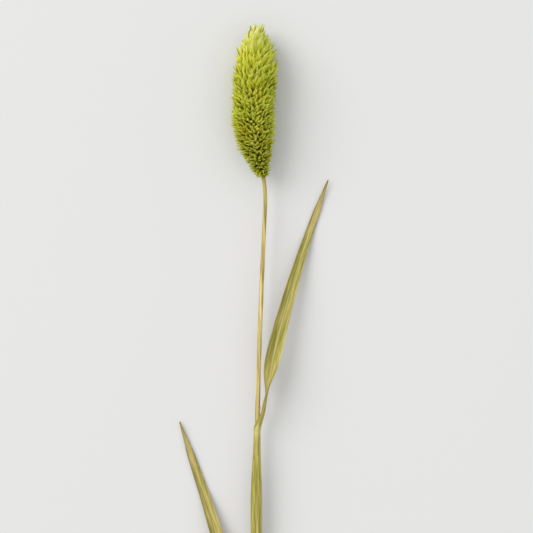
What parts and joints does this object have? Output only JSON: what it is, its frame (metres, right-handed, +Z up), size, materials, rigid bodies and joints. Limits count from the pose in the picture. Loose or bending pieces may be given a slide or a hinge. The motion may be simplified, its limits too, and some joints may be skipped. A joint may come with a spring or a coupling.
{
  "type": "preserved canary grass stem",
  "caption": "Cut grass stem lying on its side: a thin jointed culm with a dense oval seed head of overlapping pointed scales and narrow leaves that sheath the culm.",
  "frame": {"origin": "on the surface that the stem lies on, under the middle of its box", "axes": "+Y along the culm from its cut end towards the seed head's tip, +Z up from the surface, +X to the right when the stem is seen from above with its head away from the viewer"},
  "size_m": [0.0486, 0.2602, 0.0134],
  "materials": {
    "culm": "satin",
    "scales": "matte",
    "leaf": "satin"
  },
  "bodies": {
    "root": {"culm": "culm", "seed_head": "scales", "flag_leaf": "leaf", "lower_leaf": "leaf"}
  },
  "joints": []
}
